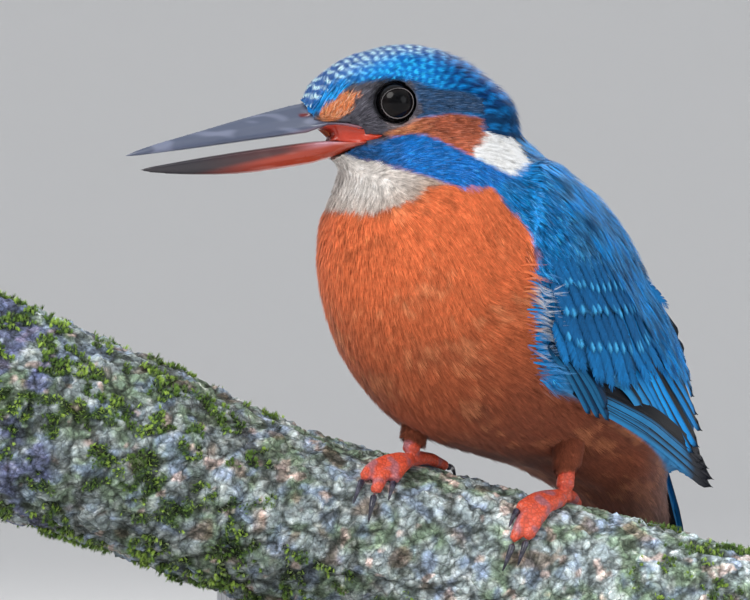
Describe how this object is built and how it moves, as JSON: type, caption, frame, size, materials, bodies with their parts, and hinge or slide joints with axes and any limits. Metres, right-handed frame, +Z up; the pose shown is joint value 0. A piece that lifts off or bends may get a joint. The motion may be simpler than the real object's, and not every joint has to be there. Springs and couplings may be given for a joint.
{
  "type": "common kingfisher on a perch",
  "caption": "Life-size female common kingfisher, bill parted, gripping a short cut branch that rods hold over a flat base.",
  "frame": {"origin": "centre of the base's underside", "axes": "+Z up; the branch runs along X with its high end at -X; the bird's head faces -X and its breast -X and -Y"},
  "size_m": [0.1716, 0.078, 0.1552],
  "materials": {
    "plumage_blue": "soft feathers with pale blue tips",
    "plumage_white": "soft feathers",
    "plumage_orange": "soft hair-like feathers",
    "flight_feathers": "smooth vanes",
    "bill_horn": "satin horn",
    "bill_horn_red": "satin horn, dark at the tip",
    "mouth_lining": "moist",
    "eye": "clear gloss over dark brown",
    "foot_skin": "fine scales",
    "claw_horn": "satin horn",
    "bark": "rough bark with moss and lichen",
    "base_paint": "satin black paint",
    "rod_steel": "brushed"
  },
  "bodies": {
    "root": {"head": "plumage_blue", "neck": "plumage_white", "trunk": "plumage_orange", "tail": "flight_feathers", "wing_left_coverts": "flight_feathers", "wing_left_secondaries": "flight_feathers", "wing_left_primaries": "flight_feathers", "wing_right_coverts": "flight_feathers", "wing_right_secondaries": "flight_feathers", "wing_right_primaries": "flight_feathers", "bill_upper": "bill_horn", "bill_lower": "bill_horn_red", "gape": "mouth_lining", "eye_left": "eye", "eye_right": "eye", "leg_left": "foot_skin", "leg_right": "foot_skin", "foot_left": "foot_skin", "foot_right": "foot_skin", "claw_left_middle": "claw_horn", "claw_left_outer": "claw_horn", "claw_left_inner": "claw_horn", "claw_left_hind": "claw_horn", "claw_right_middle": "claw_horn", "claw_right_outer": "claw_horn", "claw_right_inner": "claw_horn", "claw_right_hind": "claw_horn", "perch": "bark", "stand_base": "base_paint", "stand_rod_left": "rod_steel", "stand_rod_right": "rod_steel"}
  },
  "joints": []
}
